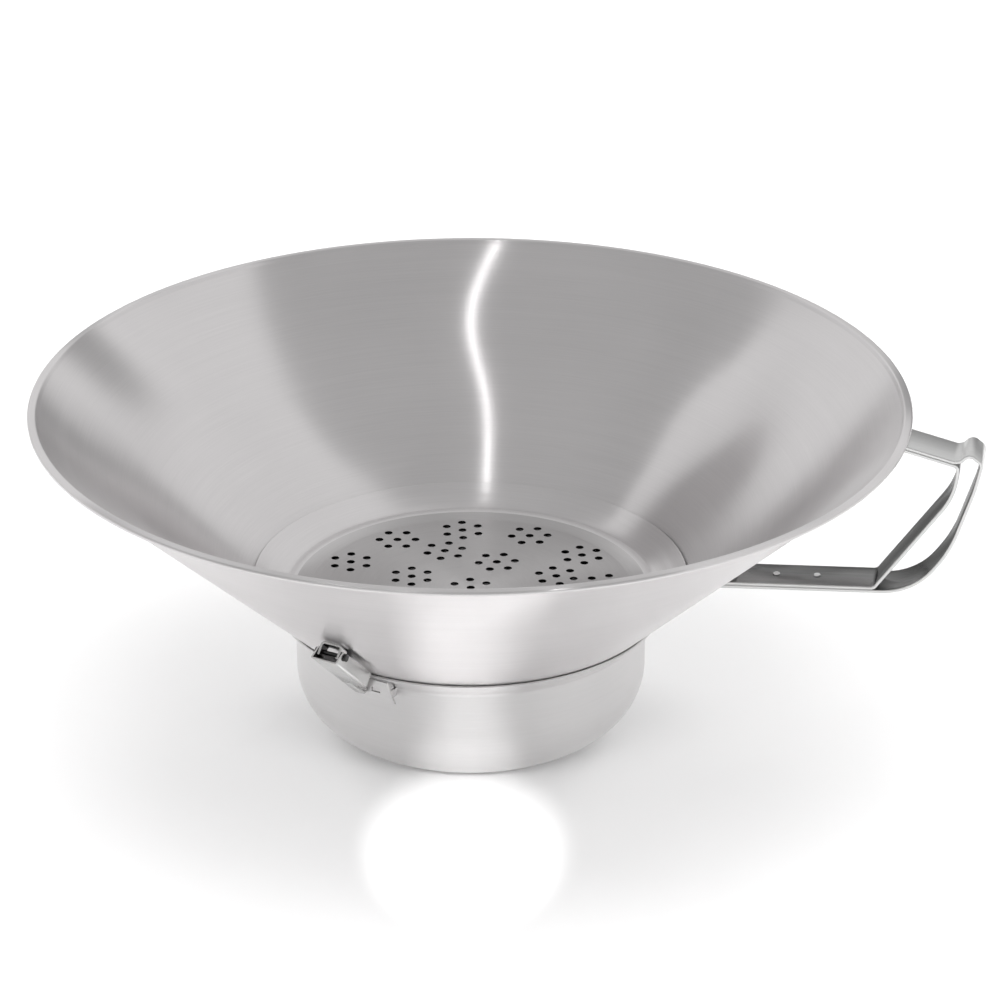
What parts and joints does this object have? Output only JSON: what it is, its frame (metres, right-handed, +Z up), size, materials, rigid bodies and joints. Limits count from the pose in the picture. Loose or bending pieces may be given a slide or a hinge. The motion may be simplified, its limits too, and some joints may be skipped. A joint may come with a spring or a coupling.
{
  "type": "double sieve strainer",
  "caption": "Wide conical steel strainer with stacked perforated sieves, a clip-on outlet cup and a strap side handle, for straining honey or milk into a container",
  "frame": {"origin": "on the axis of the bowl, on the plane that the cup stands on", "axes": "+Z up along the bowl's axis, +X from the axis towards the handle"},
  "size_m": [0.4331, 0.4, 0.1604],
  "materials": {
    "bowl_steel": "satin spun stainless sheet with fine brushing around the axis",
    "cup_steel": "satin stainless sheet, brushed around the axis",
    "sieve_steel": "turned stainless disc with punched holes",
    "strap_steel": "bright rolled stainless strip with rubbed edges",
    "catch_steel": "bright pressed stainless sheet",
    "fixing_steel": "polished rivet and pin heads"
  },
  "bodies": {
    "bowl": {"bowl_shell": "bowl_steel", "sieve_seat": "bowl_steel", "handle_outer_strap": "strap_steel", "handle_inner_strap": "strap_steel", "handle_rivets": "fixing_steel", "catch_clevis_front": "catch_steel", "catch_clevis_rear": "catch_steel", "catch_pin_front": "fixing_steel", "catch_pin_rear": "fixing_steel"},
    "upper_sieve": {"upper_sieve": "sieve_steel"},
    "lower_sieve": {"lower_sieve": "sieve_steel"},
    "cup": {"cup_shell": "cup_steel", "catch_keeper_front": "catch_steel", "catch_keeper_rear": "catch_steel"},
    "catch_front": {"catch_lever_front": "catch_steel"},
    "catch_rear": {"catch_lever_rear": "catch_steel"}
  },
  "joints": [
    {"name": "upper_sieve_lift", "type": "slide", "parent": "bowl", "child": "upper_sieve", "axis": [0, 0, 1], "range_m": [0, 0.12]},
    {"name": "lower_sieve_drop", "type": "slide", "parent": "bowl", "child": "lower_sieve", "axis": [0, 0, -1], "range_m": [0, 0.06]},
    {"name": "cup_drop", "type": "slide", "parent": "lower_sieve", "child": "cup", "axis": [0, 0, -1], "range_m": [0, 0.06]},
    {"name": "catch_front_swing", "type": "hinge", "parent": "bowl", "child": "catch_front", "pos_m": [-0.04222, -0.11291, 0.08367], "axis": [-0.9367, 0.3502, 0], "range_deg": [0, 75]},
    {"name": "catch_rear_swing", "type": "hinge", "parent": "bowl", "child": "catch_rear", "pos_m": [0.04222, 0.11291, 0.08367], "axis": [0.9367, -0.3502, 0], "range_deg": [0, 75]}
  ]
}
